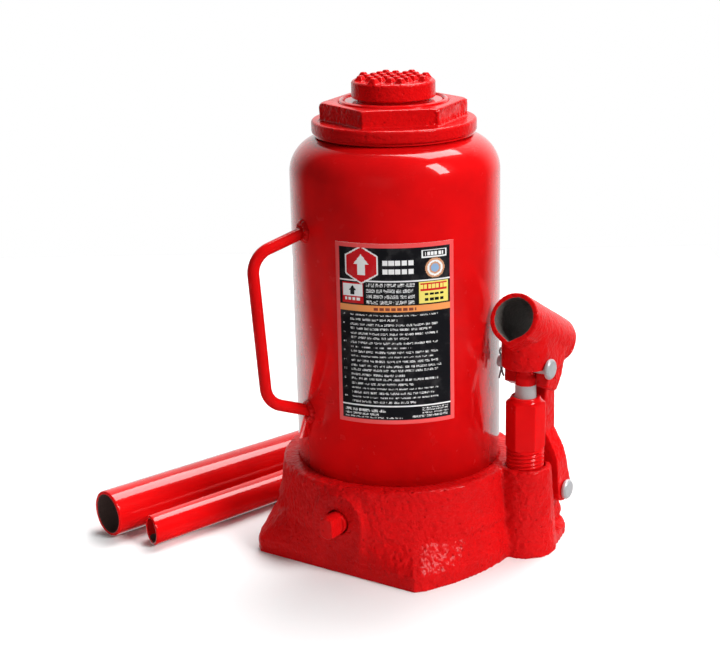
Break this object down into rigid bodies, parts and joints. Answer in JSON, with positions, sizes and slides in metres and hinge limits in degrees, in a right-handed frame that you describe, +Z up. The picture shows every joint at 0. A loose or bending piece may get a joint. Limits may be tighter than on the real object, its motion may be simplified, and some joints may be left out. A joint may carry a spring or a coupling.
{
  "type": "hydraulic bottle jack",
  "caption": "Hydraulic bottle jack with square foot, tank and carry handle, ram with extension screw, pump with handle socket and link, release valve and loose handle tubes.",
  "frame": {"origin": "on the floor under the axis of the lifting ram", "axes": "+Z up along the ram, -Y towards the operator (release valve), +X towards the pump"},
  "size_m": [0.2248, 0.261, 0.242],
  "materials": {
    "cast_red": "glossy enamel over sand-cast texture",
    "sheet_red": "glossy enamel",
    "machined_red": "glossy enamel over machined steel",
    "ram_steel": "ground and polished, oiled",
    "machined_steel": "turned, oiled",
    "zinc_steel": "bright zinc plate",
    "ball_steel": "polished",
    "spring_steel": "oiled",
    "seal_rubber": "matt nitrile",
    "filler_rubber": "moulded",
    "guide_plastic": "filled nylon",
    "copper": "soft copper",
    "label_print": "printed vinyl, text-free"
  },
  "bodies": {
    "jack_body": {"base_casting": "cast_red", "suction_ball": "ball_steel", "suction_plug": "machined_steel", "pressure_ball": "ball_steel", "pressure_spring": "spring_steel", "pressure_retainer": "machined_steel", "overload_ball": "ball_steel", "overload_spring": "spring_steel", "overload_screw": "machined_steel", "overload_cap": "machined_red", "reservoir_tank": "sheet_red", "tank_bottom_gasket": "seal_rubber", "tank_top_gasket": "seal_rubber", "filler_plug": "filler_rubber", "top_nut": "cast_red", "gland_o_ring": "seal_rubber", "ram_wiper": "seal_rubber", "hydraulic_cylinder": "machined_steel", "cylinder_gasket": "copper", "carry_handle": "sheet_red", "handle_welds": "sheet_red", "release_valve_ball": "ball_steel", "pump_cylinder": "machined_red", "pump_washer": "copper", "plunger_seal": "seal_rubber", "plunger_wiper": "seal_rubber", "link_lower_pin": "zinc_steel", "link_lower_cotter": "zinc_steel", "label": "label_print"},
    "ram_body": {"ram": "ram_steel", "piston_cup_seal": "seal_rubber", "piston_guide_ring": "guide_plastic"},
    "stop_ring": {"screw_stop_ring": "spring_steel"},
    "screw_body": {"extension_screw": "machined_red"},
    "valve_body": {"release_valve": "machined_red", "release_valve_o_ring": "seal_rubber"},
    "plunger_body": {"pump_plunger": "machined_steel", "plunger_pin": "zinc_steel", "plunger_pin_cotter": "zinc_steel"},
    "socket_body": {"handle_socket": "cast_red", "link_upper_pin": "machined_red"},
    "link_body": {"link": "cast_red"},
    "tube_large_body": {"handle_tube_large": "sheet_red"},
    "tube_small_body": {"handle_tube_small": "sheet_red"}
  },
  "joints": [
    {"name": "ram_lift", "type": "slide", "parent": "jack_body", "child": "ram_body", "axis": [0, 0, 1], "range_m": [0, 0.15]},
    {"name": "screw_rise", "type": "slide", "parent": "ram_body", "child": "stop_ring", "axis": [0, 0, 1], "range_m": [0, 0.06]},
    {"name": "screw_turn", "type": "hinge", "parent": "stop_ring", "child": "screw_body", "pos_m": [0, 0, 0.2], "axis": [0, 0, 1], "range_deg": [0, 5400]},
    {"name": "release_turn", "type": "hinge", "parent": "jack_body", "child": "valve_body", "pos_m": [0.0019, -0.0624, 0.0273], "axis": [0, -1, 0], "range_deg": [0, 360]},
    {"name": "plunger_stroke", "type": "slide", "parent": "jack_body", "child": "plunger_body", "axis": [0, 0, 1], "range_m": [-0.0079, 0]},
    {"name": "socket_swing", "type": "hinge", "parent": "plunger_body", "child": "socket_body", "pos_m": [0.06735, 0.0135, 0.0987], "axis": [1, 0, 0], "range_deg": [0, 36]},
    {"name": "link_rock", "type": "hinge", "parent": "jack_body", "child": "link_body", "pos_m": [0.06735, 0.0345, 0.027], "axis": [1, 0, 0], "range_deg": [-1.4, 0.1]},
    {"name": "tube_large_slide", "type": "slide", "parent": "jack_body", "child": "tube_large_body", "axis": [-0.2807, -0.9598, 0], "range_m": [0, 0.15]},
    {"name": "tube_small_slide", "type": "slide", "parent": "jack_body", "child": "tube_small_body", "axis": [-0.2588, -0.9659, 0], "range_m": [0, 0.15]}
  ],
  "couplings": [
    {"joint": "screw_rise", "follows": "screw_turn", "m_per_rad": 0.00063662},
    {"joint": "socket_swing", "follows": "plunger_stroke", "rad_per_m": -79.45},
    {"joint": "link_rock", "follows": "plunger_stroke", "rad_per_m": 2.892}
  ]
}
